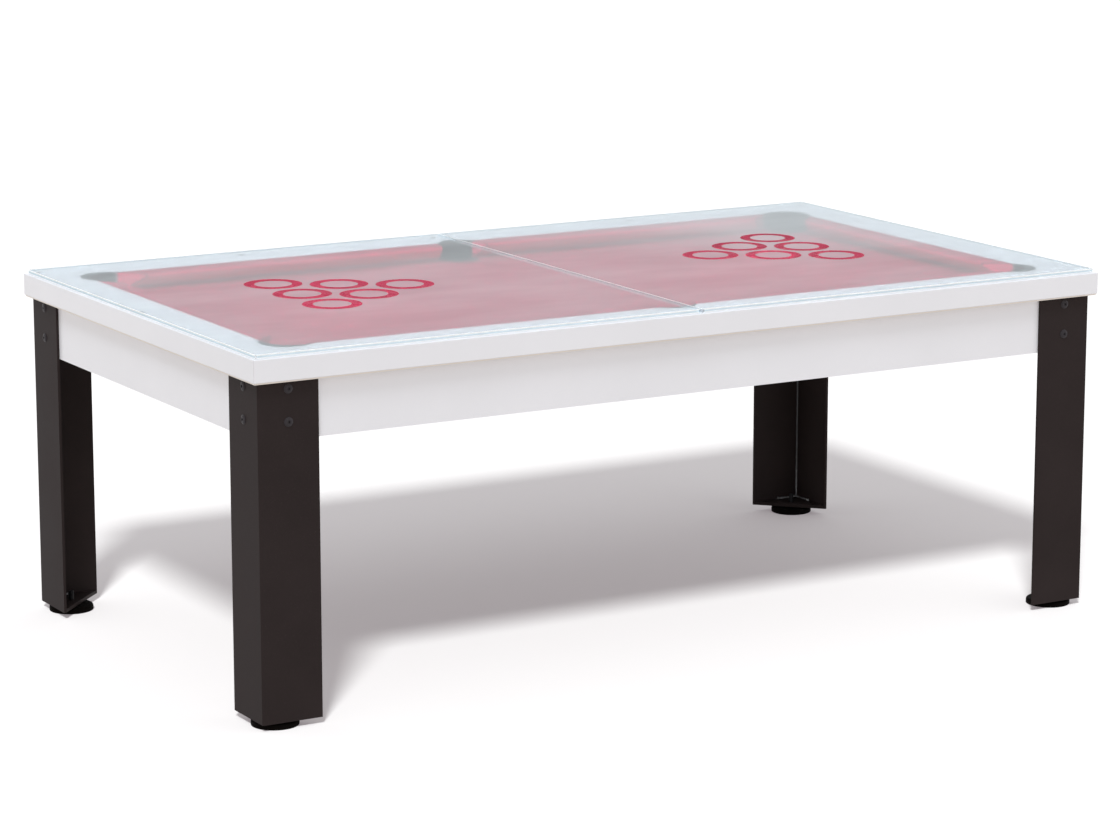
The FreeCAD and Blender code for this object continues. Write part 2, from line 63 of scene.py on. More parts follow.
bl_info = {
    "name": "Convertible Pool Table",
    "version": (1, 0, 0),
    "blender": (4, 5, 0),
    "location": "View3D > Sidebar > Pool Table",
    "description": "Dresses the frame of a convertible pool table and sets its studio stage",
    "category": "Object",
}

ROWS = ("front", "back")
SIDES = ("left", "right")
EDGES = ROWS + SIDES
CORNERS = tuple(f"{row}_{side}" for row in ROWS for side in SIDES)
POCKETS = tuple(f"pocket_{row}_{place}" for row in ROWS for place in ("left", "middle", "right"))
SIGN = {"left": -1.0, "right": 1.0, "front": -1.0, "back": 1.0}
MM = 0.001

# Room between a pocket's cup and the hole in the bed cloth
CUP_GAP = 3.2 * MM

# Width of the picture that the camera's focal length is given for, in pixels
PICTURE_WIDTH = 1120.0

# Span that most values of a noise pattern lie in
NOISE_SPAN = (0.3, 0.7)

CLOTH = "napped_cloth"
WHITE = (1.0, 1.0, 1.0)


# Sizes and colours that a user would change

def length(name, description, default):
    return bpy.props.FloatProperty(
        name=name, description=description, default=default, unit="LENGTH", precision=5)


def angle(name, description, degrees):
    return bpy.props.FloatProperty(
        name=name, description=description, default=math.radians(degrees), subtype="ANGLE")


def number(name, description, default):
    return bpy.props.FloatProperty(name=name, description=description, default=default)


def colour(name, description, default):
    return bpy.props.FloatVectorProperty(
        name=name, description=description, default=default, subtype="COLOR", size=3, min=0.0, max=1.0)


def direction(name, description, default):
    return bpy.props.FloatVectorProperty(
        name=name, description=description, default=default, subtype="DIRECTION", size=3)


class PoolTableColours(bpy.types.PropertyGroup):
    """Colours of the table's finishes."""
    lacquer: colour("Lacquer", "White lacquer of the rails and aprons", (0.897, 0.90, 0.947))
    edge_board: colour("Edge board", "Cream lacquer of the strip under the rails", (0.88, 0.82, 0.76))
    cloth: colour("Cloth", "Wool cloth of the bed and the cushions", (0.48, 0.018, 0.073))
    frost: colour("Frosting", "Etched face of the glass", (0.70, 0.742, 0.768))
    glass_edge: colour("Glass edge", "Polished edge of the glass", (0.75, 0.89, 0.965))
    powder_coat: colour("Powder coat", "Coat of the legs and foot plates", (0.0335, 0.0258, 0.0258))
    rubber: colour("Rubber", "Foot pads and cushion facings", (0.0045, 0.0036, 0.0032))
    pocket: colour("Pocket moulding", "Liners and cups of the pockets", (0.03, 0.038, 0.042))
    slate: colour("Slate", "Stone of the bed", (0.11, 0.12, 0.13))
    timber: colour("Bare timber", "Ledgers, beams and blocks inside the apron", (0.55, 0.36, 0.19))
    steel: colour("Plated steel", "Nuts, washers and rail bolts", (0.22, 0.22, 0.215))
    stud: colour("Blackened steel", "Studs of the levelling feet", (0.03, 0.03, 0.033))
    weld: colour("Weld metal", "Beads between the legs and the foot plates", (0.17, 0.175, 0.18))
    bolt: colour("Black bolt", "Heads of the leg bolts", (0.036, 0.031, 0.035))


class PoolTableGlass(bpy.types.PropertyGroup):
    """Frosting of the glass leaves and the clear rings left in it."""
    ring_radius: length("Ring radius", "Middle radius of a clear ring", 0.053)
    ring_line: length("Ring line", "Width of a ring's clear line", 0.023)
    ring_pitch: length("Ring pitch", "Distance between the middles of neighbouring rings", 0.145)
    arris: length("Arris", "Width of the ground arris along the edges", 0.0026)
    frost_clarity: number("Frost clarity", "Share of the light that passes the frosting", 0.565)
    # Whiter frosting towards the far right corner: a painted reflection of the bright room, which the
    # glass, bending light little, does not mirror
    painted_reflection_drift: number("Frost drift", "Clarity lost towards the far right corner", 0.17)
    frost_clouds: number("Frost clouds", "Clarity gained or lost in the clouds of the frosting", 0.05)
    frost_roughness: number("Frost roughness", "Roughness of the etched face", 0.16)
    bending: number("Bending", "How much the glass bends light, low so that it mirrors little", 1.015)


class PoolTableSoftGoods(bpy.types.PropertyGroup):
    """Cloth and cushions."""
    side_turn: length("Side turn-down", "Cloth turned down at the sides of the slate", 0.016)
    pocket_turn: length("Pocket turn-down", "Cloth turned down into a pocket's hole", 0.014)
    nose_radius: length("Nose radius", "Radius of a cushion's nose", 0.004)
    nose_height: length("Nose height", "Height of a cushion's nose over the bed", 0.032)
    sole_width: length("Sole width", "Width of a cushion's underside at the rail", 0.018)
    facing: length("Facing cover", "Cloth carried over the rubber facing at each end", 0.0034)
    corner_cut: angle("Corner cut", "Angle of a cushion's end at a corner pocket", 45.0)
    side_cut: angle("Side cut", "Angle of a cushion's end at a side pocket", 14.0)


class PoolTableFeet(bpy.types.PropertyGroup):
    """Levelling feet and their welds."""
    stud_radius: length("Stud radius", "Outer radius of a foot's stud", 0.006)
    collar_flat: length("Collar flat", "Distance from a collar's middle to its flats", 0.0095)
    thread_pitch: length("Thread pitch", "Rise of the stud's thread in one turn", 0.00175)
    thread_depth: length("Thread depth", "Depth of the stud's thread", 0.0009)
    weld_leg: length("Weld leg", "Size of the fillet weld of a foot plate", 0.003)
    weld_run: number("Weld run", "Share of a foot plate's edge that is welded", 0.47)
    weld_ripple: length("Weld ripple", "Distance between the ripples of a weld", 0.0035)


class PoolTableStage(bpy.types.PropertyGroup):
    """Camera, light and floor."""
    camera_place: bpy.props.FloatVectorProperty(
        name="Camera place", description="Where the camera stands", default=(-4.1566, -7.1875, 2.1669),
        subtype="TRANSLATION", size=3)
    camera_yaw: angle("Camera yaw", "Turn of the camera from the table's width towards its length", 30.022)
    camera_pitch: angle("Camera pitch", "Tilt of the camera below the horizon", 11.782)
    focal_pixels: number("Focal length in pixels", "Focal length for a picture 1120 pixels wide", 3736.8)
    key_from: direction("Key direction", "Way from the table to its key light", (-0.40, -0.34, 1.0))
    key_strength: number("Key strength", "Strength of the key light on the table", 1.2)
    key_tint: colour("Key tint", "Colour of the key light on the table", (0.91, 0.965, 1.0))
    key_spread: angle("Key spread", "Apparent size of the key light on the table", 18.0)
    floor_key_from: direction(
        "Floor key direction", "Way from the floor to its key light", (-0.62, -0.86, 1.0))
    floor_key_strength: number("Floor key strength", "Strength of the key light on the floor", 5.0)
    floor_key_spread: angle("Floor key spread", "Apparent size of the key light on the floor", 9.0)
    cloth_fill_from: direction(
        "Cloth fill direction", "Way from the cloth to its low fill light", (-0.62, -0.80, 0.10))
    cloth_fill_strength: number(
        "Cloth fill strength", "Strength of the low fill light under the glass", 3.4)
    sky_strength: number("Sky strength", "Even light from all round", 0.72)
    horizon_strength: number("Horizon strength", "Light added to the sky towards the horizon", 0.18)
    sky_lean: number("Sky lean", "Share by which the sky brightens towards the right", 0.26)
    floor_seen: number("Floor colour", "Paleness of the floor where it is seen directly", 0.5)
    floor_tint: colour("Floor tint", "Colour of the floor where it is seen directly", (0.985, 1.0, 0.99))
    floor_bounce: colour(
        "Floor bounce", "Share of the light that the floor gives back to the table", (0.38, 0.352, 0.328))
    floor_glow: number("Floor glow", "Light added where the floor is seen directly", 0.23)
    floor_glow_tint: colour("Floor glow tint", "Colour of the light added to the floor", (1.0, 0.88, 0.94))


GROUPS = {
    "pool_table_colours": PoolTableColours,
    "pool_table_glass": PoolTableGlass,
    "pool_table_soft_goods": PoolTableSoftGoods,
    "pool_table_feet": PoolTableFeet,
    "pool_table_stage": PoolTableStage,
}


# Surfaces

def grid_faces(rows, columns, round_columns=False):
    """Quads between neighbouring points of a grid, whose points run row after row."""
    i, j = np.meshgrid(
        np.arange(rows - 1), np.arange(columns if round_columns else columns - 1), indexing="ij")
    i, j = i.ravel(), j.ravel()
    k = (j + 1) % columns
    return np.stack([i * columns + j, (i + 1) * columns + j, (i + 1) * columns + k, i * columns + k], 1)


def closed_skin(rings):
    """Closed skin over an (n, m, 3) array of rings: quads between the rings and a fan over each end.

    Its faces are turned round where the volume that they enclose comes out negative.
    """
    count, sides = rings.shape[:2]
    points = np.concatenate([rings.reshape(-1, 3), rings[[0, -1]].mean(1)])
    quads = grid_faces(count, sides, round_columns=True)
    j = np.arange(sides)
    k = (j + 1) % sides
    last = (count - 1) * sides
    first_fan = np.stack([k, np.full(sides, count * sides), j], 1)
    last_fan = np.stack([last + j, np.full(sides, count * sides + 1), last + k], 1)
    triangles = np.concatenate([quads[:, [0, 1, 2]], quads[:, [0, 2, 3]], first_fan, last_fan])
    a, b, c = (points[triangles[:, corner]] for corner in range(3))
    way = 1 if np.einsum("ij,ij->", a, np.cross(b, c)) > 0 else -1
    return points, [face[::way] for face in quads.tolist() + first_fan.tolist() + last_fan.tolist()]


def new_piece(name, points, faces, material, body, slot, smooth_angle=40.0):
    """Mesh object at the origin, smooth up to an angle, that rides on a body of the frame."""
    mesh = bpy.data.meshes.new(name)
    mesh.from_pydata(np.asarray(points, float).reshape(-1, 3).tolist(), [], [list(face) for face in faces])
    mesh.materials.append(material)
    mesh.shade_smooth()
    mesh.set_sharp_from_angle(angle=math.radians(smooth_angle))
    piece = bpy.data.objects.new(name, mesh)
    bpy.context.scene.collection.objects.link(piece)
    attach(piece, body)
    return piece


def turned_rings(profile, centre, sides):
    """Rings of a turned shape: each (radius, height) of the profile carried round an upright axis."""
    profile = np.asarray(profile, float)
    turn = np.linspace(0.0, 2.0 * np.pi, sides, endpoint=False)
    x = centre[0] + profile[:, :1] * np.cos(turn)
    y = centre[1] + profile[:, :1] * np.sin(turn)
    return np.stack([x, y, np.broadcast_to(profile[:, 1:], x.shape)], 2)


def rounded(corner, radius, start, stop, steps):
    """Points of an arc about a centre, from one angle to another, in degrees."""
    turn = np.radians(np.linspace(start, stop, steps))
    return np.stack([corner[0] + radius * np.cos(turn), corner[1] + radius * np.sin(turn)], 1)


def node_points(node):
    """Points of a node's mesh, as an array."""
    mesh = frame["nodes"][node].data
    points = np.zeros(len(mesh.vertices) * 3, np.float32)
    mesh.vertices.foreach_get("co", points)
    return points.reshape(-1, 3).astype(float)


def pocket_circle(node):
    """Middle and outer radius of a pocket's cup, from the lowest points of its node."""
    points = node_points(node)
    bottom = points[points[:, 2] < points[:, 2].min() + MM]
    low, high = bottom.min(0), bottom.max(0)
    return (low + high)[:2] / 2.0, (high - low)[0] / 2.0


# Shader nodes

def feed(tree, socket, value):
    """Links a socket to another one, or sets its value."""
    if isinstance(value, bpy.types.NodeSocket):
        tree.links.new(value, socket)
    elif hasattr(value, "__len__") and len(value) == 3 and socket.type == "RGBA":
        socket.default_value = (*value, 1.0)
    else:
        socket.default_value = value


def shade(tree, kind, inputs=None, **settings):
    """New shader node with its settings and its inputs, which are values or other nodes' sockets."""
    node = tree.nodes.new(kind)
    for name, value in settings.items():
        setattr(node, name, value)
    for key, value in (inputs or {}).items():
        feed(tree, node.inputs[key], value)
    return node


def maths(tree, operation, *values, clamp=False):
    """Result of a sum on values or sockets."""
    inputs = dict(enumerate(values))
    return shade(tree, "ShaderNodeMath", inputs, operation=operation, use_clamp=clamp).outputs[0]


def ramp(tree, value, low, high, to_low=0.0, to_high=1.0):
    """Smooth step of a value from low to high."""
    inputs = {"Value": value, "From Min": low, "From Max": high, "To Min": to_low, "To Max": to_high}
    return shade(tree, "ShaderNodeMapRange", inputs, interpolation_type="SMOOTHSTEP").outputs["Result"]


def varied(tree, pattern, low, high):
    """Value that goes from low to high with a noise pattern."""
    return ramp(tree, pattern, *NOISE_SPAN, low, high)


def mixed(tree, share, first, second):
    """Colour between two colours."""
    node = shade(tree, "ShaderNodeMix", data_type="RGBA")
    for key, value in ((0, share), (6, first), (7, second)):
        feed(tree, node.inputs[key], value)
    return node.outputs[2]


def blended(tree, share, first, second):
    """Number between two numbers."""
    node = shade(tree, "ShaderNodeMix", data_type="FLOAT")
    for key, value in ((0, share), (2, first), (3, second)):
        feed(tree, node.inputs[key], value)
    return node.outputs[0]


def object_place(tree, scale=(1.0, 1.0, 1.0)):
    """Object coordinates, scaled along each axis."""
    place = shade(tree, "ShaderNodeTexCoord").outputs["Object"]
    return shade(tree, "ShaderNodeMapping", {"Vector": place, "Scale": scale}).outputs[0]


def noise(tree, place, scale, detail=3.0, roughness=0.5):
    """Cloudy pattern from 0 to 1, with its scale in clouds a metre."""
    inputs = {"Vector": place, "Scale": scale, "Detail": detail, "Roughness": roughness}
    return shade(tree, "ShaderNodeTexNoise", inputs).outputs["Fac"]


def bumped(tree, height, strength, depth):
    """Normal of a surface that rises with a pattern, by a depth in metres."""
    inputs = {"Height": height, "Strength": strength, "Distance": depth}
    return shade(tree, "ShaderNodeBump", inputs).outputs["Normal"]


def new_material(name, **values):
    """Material with a Principled shader whose plain values are set on its own sockets."""
    material = bpy.data.materials.new(name)
    material.use_nodes = True
    shader = material.node_tree.nodes["Principled BSDF"]
    for key, value in values.items():
        feed(material.node_tree, shader.inputs[key.replace("_", " ")], value)
    return material, material.node_tree, shader.inputs


def scaled(base, factor):
    """Colour made lighter or darker."""
    return tuple(min(1.0, channel * factor) for channel in base)


# Finishes

def lacquer_finish(name, base):
    """Sprayed lacquer: faint clouds in the colour, orange peel in the gloss and a clear coat."""
    values = {"Coat_Weight": 0.25, "Coat_Roughness": 0.12, "IOR": 1.48}
    material, tree, shader = new_material(name, **values)
    place = object_place(tree)
    clouds = noise(tree, place, scale=3.5, detail=4.0)
    feed(tree, shader["Base Color"], mixed(tree, clouds, scaled(base, 0.96), scaled(base, 1.04)))
    feed(tree, shader["Roughness"], varied(tree, noise(tree, place, scale=24.0), 0.30, 0.40))
    peel = noise(tree, place, scale=420.0, detail=1.0)
    feed(tree, shader["Normal"], bumped(tree, peel, strength=0.05, depth=0.0004))
    return material


def powder_coat_finish(name, base):
    """Powder coat: a fine pebbled skin over steel, slightly uneven in colour and gloss."""
    values = {"IOR": 1.5, "Specular_IOR_Level": 0.02}
    material, tree, shader = new_material(name, **values)
    place = object_place(tree)
    grain = noise(tree, place, scale=900.0, detail=2.0)
    patches = noise(tree, place, scale=6.0, detail=3.0)
    tone = mixed(tree, patches, scaled(base, 0.8), scaled(base, 1.25))
    feed(tree, shader["Base Color"], mixed(tree, ramp(tree, grain, 0.62, 0.75), tone, scaled(base, 1.7)))
    feed(tree, shader["Roughness"], varied(tree, patches, 0.30, 0.40))
    feed(tree, shader["Normal"], bumped(tree, grain, strength=0.15, depth=0.0005))
    return material


def cloth_finish(base):
    """Napped wool cloth: crossed threads under short fibres, with a soft sheen."""
    values = {"Roughness": 0.92, "Sheen_Weight": 0.05, "Sheen_Roughness": 0.45, "Specular_IOR_Level": 0.15}
    material, tree, shader = new_material(CLOTH, **values)
    feed(tree, shader["Sheen Tint"], scaled(base, 1.3))
    place = object_place(tree)
    inputs = {"Vector": place, "Scale": 190.0, "Distortion": 1.2, "Detail": 1.0}
    threads = [shade(tree, "ShaderNodeTexWave", inputs, bands_direction=way) for way in ("X", "Y")]
    weave = maths(tree, "MULTIPLY", *(thread.outputs["Fac"] for thread in threads))
    fibres = noise(tree, place, scale=1400.0, detail=3.0, roughness=0.7)
    brushed = noise(tree, object_place(tree, (5.0, 14.0, 8.0)), scale=1.0, detail=3.0)
    tone = mixed(tree, fibres, scaled(base, 0.72), scaled(base, 1.22))
    feed(tree, shader["Base Color"], mixed(tree, ramp(tree, brushed, 0.3, 0.75), tone, scaled(base, 1.03)))
    weave_share = 0.4
    height = maths(tree, "ADD", maths(tree, "MULTIPLY", weave, weave_share), fibres)
    feed(tree, shader["Normal"], bumped(tree, height, strength=0.35, depth=0.0006))
    return material


def cloth_material(colours):
    """The red cloth, made once."""
    return bpy.data.materials.get(CLOTH) or cloth_finish(tuple(colours.cloth))


def clear_rings(tree, x, y, middle_x, way, glass):
    """Mask of six rings in rows of one, two and three, which grow along the way.

    It is 1 where the distance from a ring's middle differs from its radius by less than half a line.
    """
    half_line, blur = glass.ring_line / 2.0, 0.4 * MM
    row_step = way * glass.ring_pitch * math.sin(math.radians(60.0))
    mask = 0.0
    for row in range(3):
        for step in range(row + 1):
            from_x = maths(tree, "SUBTRACT", x, middle_x + (row - 1) * row_step)
            from_y = maths(tree, "SUBTRACT", y, (step - row / 2.0) * glass.ring_pitch)
            squares = maths(tree, "MULTIPLY", from_x, from_x), maths(tree, "MULTIPLY", from_y, from_y)
            away = maths(tree, "SQRT", maths(tree, "ADD", *squares))
            off_line = maths(tree, "ABSOLUTE", maths(tree, "SUBTRACT", away, glass.ring_radius))
            mask = maths(tree, "MAXIMUM", ramp(tree, off_line, half_line + blur, half_line - blur), mask)
    return mask


def inside(tree, place, middle, half):
    """Distance from a coordinate to the nearer end of a span, given by its middle and half its length."""
    return maths(tree, "SUBTRACT", half, maths(tree, "ABSOLUTE", maths(tree, "SUBTRACT", place, middle)))


def frosted_glass_finish(side, colours, glass):
    """Glass etched on its upper face, with clear rings stacked as a rack of six and a ground arris.

    The etching scatters part of the light and lets the rest through softened. It is cloudy, and whiter
    towards the far right corner of the table, where the frosting carries a painted reflection of the bright
    room, which the glass, bending light little, does not mirror. Light from the lamps passes the leaf
    freely.
    """
    values = {"IOR": glass.bending, "Specular_IOR_Level": 0.5}
    material, tree, shader = new_material(f"frosted_glass_{side}", **values)
    low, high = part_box(f"glass_leaf_{side}")
    middle, half = (low + high) / 2.0, (high - low) / 2.0
    place = object_place(tree)
    x, y, z = shade(tree, "ShaderNodeSeparateXYZ", {0: place}).outputs
    inward = maths(tree, "MINIMUM", inside(tree, x, middle.x, half.x), inside(tree, y, middle.y, half.y))
    from_face = inside(tree, z, middle.z, half.z)

    # Masks of the edge faces, of the edges at the joint of the leaves, and of the arris
    edge_start, edge_end = 1.2 * MM, 0.9 * MM
    joint_start, joint_end = 3.0 * glass.arris, 2.0 * glass.arris
    joint_arris, arris_core = 0.4 * glass.arris, 0.6
    on_edge = ramp(tree, inward, edge_start, edge_end)
    joint = ramp(tree, maths(tree, "ABSOLUTE", x), joint_start, joint_end)
    arris = blended(tree, joint, glass.arris, joint_arris)
    core = maths(tree, "MULTIPLY", arris, arris_core)
    on_arris = ramp(tree, maths(tree, "MAXIMUM", inward, from_face), arris, core)

    # Only the upper half is etched, and the rings are left clear
    blur = 0.2 * MM
    rings = clear_rings(tree, x, y, middle.x, SIGN[side], glass)
    clear = maths(tree, "MAXIMUM", rings, ramp(tree, z, middle.z + blur, middle.z - blur))

    # Clarity of the frosting: clouds, and a drift along the length and the width, which whitens the far
    # right corner as a painted reflection
    heavy, light = glass.frost_clarity - glass.frost_clouds, glass.frost_clarity + glass.frost_clouds
    clouds = noise(tree, object_place(tree, (1.6, 3.2, 1.0)), scale=1.3, detail=3.0)
    frost = ramp(tree, clouds, 0.25, 0.75, heavy, light)
    width_share, drift_start, drift_end = 1.2, 0.3, 1.2
    corner = maths(tree, "MULTIPLY_ADD", y, width_share, x)
    drift = ramp(tree, corner, drift_start, drift_end, 0.0, glass.painted_reflection_drift)
    frost = maths(tree, "SUBTRACT", frost, drift)

    # What the masks give the shader
    edge_clarity, joint_clarity, arris_clarity = 0.2, 0.75, 0.05
    passed = blended(tree, on_edge, blended(tree, clear, frost, 1.0),
                     blended(tree, joint, edge_clarity, joint_clarity))
    feed(tree, shader["Transmission Weight"], blended(tree, on_arris, passed, arris_clarity))
    arris_white = (0.99, 1.0, 1.0)
    tint = mixed(tree, clear, tuple(colours.frost), WHITE)
    tint = mixed(tree, on_edge, tint, tuple(colours.glass_edge))
    feed(tree, shader["Base Color"], mixed(tree, on_arris, tint, arris_white))
    clear_roughness, arris_roughness = 0.02, 0.45
    rough = blended(tree, clear, glass.frost_roughness, clear_roughness)
    feed(tree, shader["Roughness"], blended(tree, on_arris, rough, arris_roughness))

    # Rays towards the lamps pass as through a plain pane
    path = shade(tree, "ShaderNodeLightPath").outputs
    pane_tint = (0.97, 0.985, 0.985)
    lamp_side = shade(tree, "ShaderNodeBsdfTransparent", {"Color": pane_tint})
    principled = tree.nodes["Principled BSDF"]
    inputs = {0: path["Is Shadow Ray"], 1: principled.outputs[0], 2: lamp_side.outputs[0]}
    both = shade(tree, "ShaderNodeMixShader", inputs)
    feed(tree, tree.nodes["Material Output"].inputs["Surface"], both.outputs[0])
    return material


def rubber_finish(name, base):
    """Moulded rubber: dull, with fine pitting and paler scuffs."""
    material, tree, shader = new_material(name, IOR=1.45, Specular_IOR_Level=0.02)
    place = object_place(tree)
    scuffs = ramp(tree, noise(tree, place, scale=90.0, detail=5.0, roughness=0.6), 0.55, 0.8)
    feed(tree, shader["Base Color"], mixed(tree, scuffs, base, scaled(base, 2.0)))
    feed(tree, shader["Roughness"], varied(tree, noise(tree, place, scale=40.0), 0.55, 0.75))
    pits = noise(tree, place, scale=1100.0, detail=2.0)
    feed(tree, shader["Normal"], bumped(tree, pits, strength=0.15, depth=0.0004))
    return material


def pocket_finish(base):
    """Moulded pocket: grained like leather, with a satin gloss."""
    material, tree, shader = new_material("pocket_moulding", IOR=1.46)
    place = object_place(tree)
    inputs = {"Vector": place, "Scale": 420.0}
    cells = shade(tree, "ShaderNodeTexVoronoi", inputs, feature="DISTANCE_TO_EDGE").outputs["Distance"]
    creases = ramp(tree, cells, 0.0, 0.12)
    feed(tree, shader["Base Color"], mixed(tree, creases, scaled(base, 0.6), scaled(base, 1.1)))
    feed(tree, shader["Roughness"], varied(tree, noise(tree, place, scale=60.0), 0.42, 0.55))
    feed(tree, shader["Normal"], bumped(tree, creases, strength=0.25, depth=0.0005))
    return material


def timber_finish(name, base, grain_scale):
    """Planed softwood: streaks drawn out along the board, darker late wood and open pores."""
    material, tree, shader = new_material(name, IOR=1.45)
    drawn = object_place(tree, grain_scale)
    rings = noise(tree, drawn, scale=1.0, detail=5.0, roughness=0.6)
    pores = noise(tree, drawn, scale=6.0, detail=3.0)
    tone = mixed(tree, ramp(tree, rings, 0.35, 0.65), scaled(base, 0.7), scaled(base, 1.2))
    feed(tree, shader["Base Color"], mixed(tree, ramp(tree, pores, 0.6, 0.75), tone, scaled(base, 0.55)))
    feed(tree, shader["Roughness"], varied(tree, rings, 0.6, 0.8))
    feed(tree, shader["Normal"], bumped(tree, pores, strength=0.2, depth=0.0006))
    return material


def slate_finish(base):
    """Honed slate: layered clouds, pale flecks and a dull surface."""
    material, tree, shader = new_material("honed_slate", IOR=1.5)
    place = object_place(tree)
    layers = noise(tree, object_place(tree, (2.0, 5.0, 40.0)), scale=1.0, detail=6.0, roughness=0.6)
    flecks = ramp(tree, noise(tree, place, scale=260.0, detail=2.0), 0.68, 0.78)
    tone = mixed(tree, layers, scaled(base, 0.7), scaled(base, 1.35))
    feed(tree, shader["Base Color"], mixed(tree, flecks, tone, scaled(base, 2.0)))
    feed(tree, shader["Roughness"], varied(tree, layers, 0.55, 0.7))
    honing = noise(tree, place, scale=320.0)
    feed(tree, shader["Normal"], bumped(tree, honing, strength=0.15, depth=0.0005))
    return material


def steel_finish(name, base, roughness, metallic, shine=0.5):
    """Plated or blackened steel: cloudy gloss and fine scratches."""
    material, tree, shader = new_material(name, Metallic=metallic, Specular_IOR_Level=shine)
    place = object_place(tree)
    clouds = noise(tree, place, scale=45.0, detail=4.0)
    scratches = noise(tree, object_place(tree, (300.0, 300.0, 2500.0)), scale=1.0, detail=2.0)
    feed(tree, shader["Base Color"], mixed(tree, clouds, scaled(base, 0.82), scaled(base, 1.15)))
    feed(tree, shader["Roughness"], varied(tree, clouds, roughness - 0.07, roughness + 0.09))
    feed(tree, shader["Normal"], bumped(tree, scratches, strength=0.08, depth=0.0002))
    return material


def weld_finish(base):
    """Weld metal: brushed bright round the foot plate, dull with heat tint further up."""
    material, tree, shader = new_material("weld_metal", Metallic=0.9)
    place = object_place(tree)
    height = shade(tree, "ShaderNodeSeparateXYZ", {0: place}).outputs["Z"]
    heat = noise(tree, place, scale=120.0, detail=3.0)
    dull_above, bright_below = 0.16, 0.03
    tone = mixed(tree, ramp(tree, height, dull_above, bright_below), base, scaled(base, 3.4))
    feed(tree, shader["Base Color"], mixed(tree, heat, scaled(base, 0.5), tone))
    feed(tree, shader["Roughness"], varied(tree, heat, 0.38, 0.54))
    spatter = noise(tree, place, scale=900.0, detail=2.0)
    feed(tree, shader["Normal"], bumped(tree, spatter, strength=0.1, depth=0.0003))
    return material


def bumper_finish():
    """Clear soft plastic disc with a faint haze."""
    material, tree, shader = new_material("soft_bumper", Transmission_Weight=0.85, IOR=1.45)
    place = object_place(tree)
    haze = noise(tree, place, scale=300.0)
    feed(tree, shader["Base Color"], mixed(tree, haze, (0.93, 0.94, 0.95), WHITE))
    feed(tree, shader["Roughness"], varied(tree, haze, 0.12, 0.3))
    return material


def dress(material, *nodes):
    """Gives nodes of the frame a finish."""
    for node in nodes:
        mesh = frame["nodes"][node].data
        mesh.materials.clear()
        mesh.materials.append(material)


# Soft goods

def stretch_lines(edges, fine, coarse):
    """Grid lines from the first edge to the last: fine steps in every other span, coarse ones between."""
    spans = []
    for index, (start, stop) in enumerate(zip(edges[:-1], edges[1:])):
        step = fine if index % 2 == 0 else coarse
        count = max(2, round((stop - start) / step))
        spans.append(np.linspace(start, stop, count, endpoint=False))
    return np.concatenate([*spans, edges[-1:]])


def opened(x, y, z, hole, radius, square, reach, turn):
    """Opens a round hole in a flat grid and turns its rim down.

    A point's distance from the middle of the hole is counted in squares. The square ring at the given
    distance becomes the circle of the hole's edge, rings further out blend back to squares until they
    are unmoved at the reach, and rings further in go straight down by as far as they lie inside it.
    """
    dx, dy = x - hole[0], y - hole[1]
    ring = np.maximum(np.abs(dx), np.abs(dy))
    tiny, slack = 1e-9, 1e-6
    away = np.maximum(np.hypot(dx, dy), tiny)
    share = np.clip((ring - square) / (reach - square), 0.0, 1.0)
    circle = radius + (reach - radius) * share
    square_x, square_y = dx / np.maximum(ring, tiny) * circle, dy / np.maximum(ring, tiny) * circle
    blend = share ** 2 * (3.0 - 2.0 * share)
    new_x = hole[0] + (1.0 - blend) * dx / away * circle + blend * square_x
    new_y = hole[1] + (1.0 - blend) * dy / away * circle + blend * square_y
    moved = ring < reach
    drop = np.clip(square - ring, 0.0, turn)
    keep = ring > square - turn - slack
    x, y = np.where(moved, new_x, x), np.where(moved, new_y, y)
    return x, y, z - np.where(moved, drop, 0.0), keep


def bed_cloth_surface(soft):
    """Flat cloth over the slate, turned down at its sides and in six round holes.

    The grid is flat at the top of the bed. Points past the slate's edge fold down by as far as they lie
    past it, and each pocket opens the grid with a round hole.
    """
    low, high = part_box("bed_cloth")
    top = high.z
    fine, coarse = 4.0 * MM, 28.0 * MM
    band, middle_band = 84.0 * MM, 60.0 * MM
    square_share, rim = 0.9, 2.0 * MM
    turn = soft.side_turn
    corner = pocket_circle("pocket_back_right")[0]
    x_edges = [low.x - turn, -corner[0] + band, -middle_band, middle_band, corner[0] - band, high.x + turn]
    y_edges = [low.y - turn, -corner[1] + band, corner[1] - band, high.y + turn]
    grid_x = stretch_lines(np.array(x_edges), fine, coarse)
    grid_y = stretch_lines(np.array(y_edges), fine, coarse)
    x, y = np.meshgrid(grid_x, grid_y, indexing="ij")
    over_x = np.maximum(np.abs(x) - high.x, 0.0)
    over_y = np.maximum(np.abs(y) - high.y, 0.0)
    z = top - np.minimum(np.maximum(over_x, over_y), turn)
    x, y = np.clip(x, low.x, high.x), np.clip(y, low.y, high.y)
    keep = np.ones(x.shape, bool)
    for node in POCKETS:
        hole, radius = pocket_circle(node)
        radius += CUP_GAP
        square = radius * square_share
        reach = min(high.y - abs(hole[1]), band) - rim
        x, y, z, kept = opened(x, y, z, hole, radius, square, reach, soft.pocket_turn)
        keep &= kept
    faces = grid_faces(*x.shape)
    faces = faces[keep.ravel()[faces].all(1)]
    used = np.unique(faces)
    place = np.full(x.size, -1)
    place[used] = np.arange(used.size)
    return np.stack([x, y, z], 2).reshape(-1, 3)[used], place[faces]


def cushion_section(depth, bottom, top, bed, soft):
    """Section of a cushion as (distance from the rail, height).

    It goes up the back, along the top, round the nose and down the undercut front, with eased corners.
    """
    radius = soft.nose_radius
    nose = (depth - radius, bed + soft.nose_height)
    ease = 1.2 * MM
    nose_end, sole_start = -60.0, -50.0
    return np.concatenate([
        rounded((ease, bottom + ease), ease, 270.0, 180.0, steps=4),
        rounded((ease, top - ease), ease, 180.0, 90.0, steps=4),
        rounded(nose, radius, 90.0, nose_end, steps=12),
        rounded((soft.sole_width - 2.0 * ease, bottom + ease), ease, sole_start, -90.0, steps=3),
    ])


